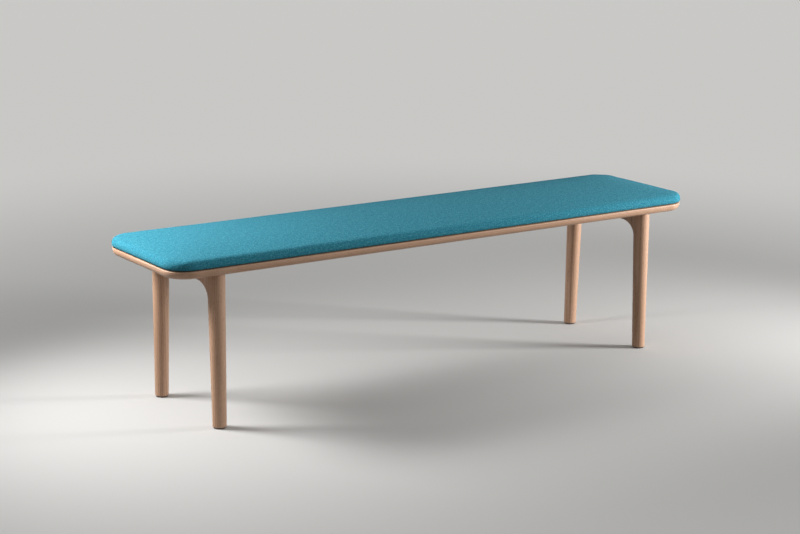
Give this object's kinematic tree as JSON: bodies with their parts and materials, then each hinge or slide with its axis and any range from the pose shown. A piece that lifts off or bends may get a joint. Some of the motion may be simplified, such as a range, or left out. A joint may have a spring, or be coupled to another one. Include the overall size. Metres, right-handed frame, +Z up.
{
  "type": "upholstered bench",
  "caption": "Long low bench with a thin crowned fabric pad on an oak frame and round tapered oak legs that flare into a crossbar under each end.",
  "frame": {"origin": "on the floor, below the middle of the seat", "axes": "+X along the bench's length to its right end, +Y from its front to its back, +Z up"},
  "size_m": [1.6448, 0.3848, 0.455],
  "materials": {
    "oak": "pale oak, matt lacquer",
    "birch": "planed birch, unfinished",
    "beech": "fluted beech dowel, unfinished",
    "plywood": "sanded birch plywood",
    "spacer": "black-stained plywood",
    "foam": "open-cell polyurethane foam",
    "fabric": "turquoise wool twill with light and dark flecks",
    "dust_cover": "black non-woven",
    "zinc_steel": "zinc plated",
    "glide": "dark brown plastic"
  },
  "bodies": {
    "root": {"bolt_washers": "zinc_steel", "cover_staples": "zinc_steel", "cross_slat_1": "birch", "cross_slat_2": "birch", "cross_slat_3": "birch", "crossbar_bolts": "zinc_steel", "crossbar_dowels": "beech", "crossbar_left": "oak", "crossbar_right": "oak", "dust_cover": "dust_cover", "fabric_cover": "fabric", "foam_pad": "foam", "glide_back_left": "glide", "glide_back_right": "glide", "glide_front_left": "glide", "glide_front_right": "glide", "glide_nails": "zinc_steel", "leg_back_left": "oak", "leg_back_right": "oak", "leg_dowels": "beech", "leg_front_left": "oak", "leg_front_right": "oak", "panel_screws": "zinc_steel", "rail_dowels": "beech", "seat_panel": "plywood", "seat_rail_back": "oak", "seat_rail_front": "oak", "seat_rail_left": "oak", "seat_rail_right": "oak", "slat_dowels": "beech", "spacer_back": "spacer", "spacer_front": "spacer", "spacer_left": "spacer", "spacer_right": "spacer", "threaded_inserts": "zinc_steel"}
  },
  "joints": []
}
